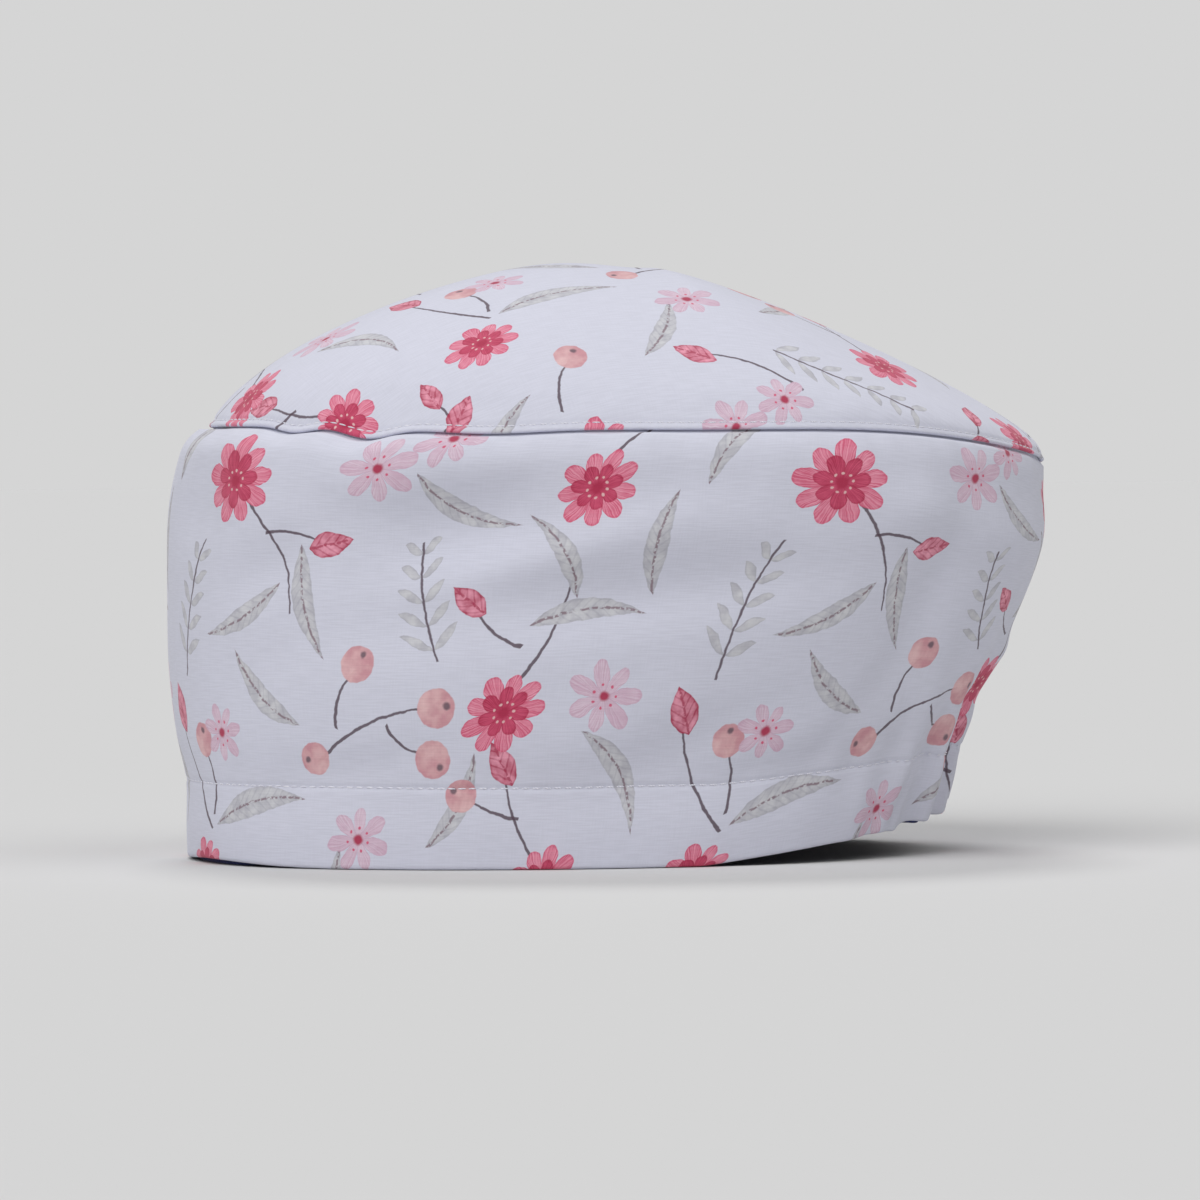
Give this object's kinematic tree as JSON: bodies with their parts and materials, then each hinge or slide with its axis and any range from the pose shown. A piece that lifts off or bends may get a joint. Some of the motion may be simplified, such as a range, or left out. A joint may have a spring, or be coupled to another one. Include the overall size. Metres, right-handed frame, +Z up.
{
  "type": "scrub cap",
  "caption": "Printed cloth scrub cap with an oval domed crown, a tall side band gathered at the back and a navy band inside the hem.",
  "frame": {"origin": "middle of the cap's box at the surface that its hem rests on", "axes": "+Z up, the front of the cap towards -X and its gathered back towards +X"},
  "size_m": [0.2347, 0.1834, 0.1555],
  "materials": {
    "printed_cloth": "fine plain-weave polycotton, white with a watercolour floral print",
    "navy_cloth": "plain navy polycotton twill"
  },
  "bodies": {
    "root": {"side_band": "printed_cloth", "crown": "printed_cloth", "inner_band": "navy_cloth"}
  },
  "joints": []
}
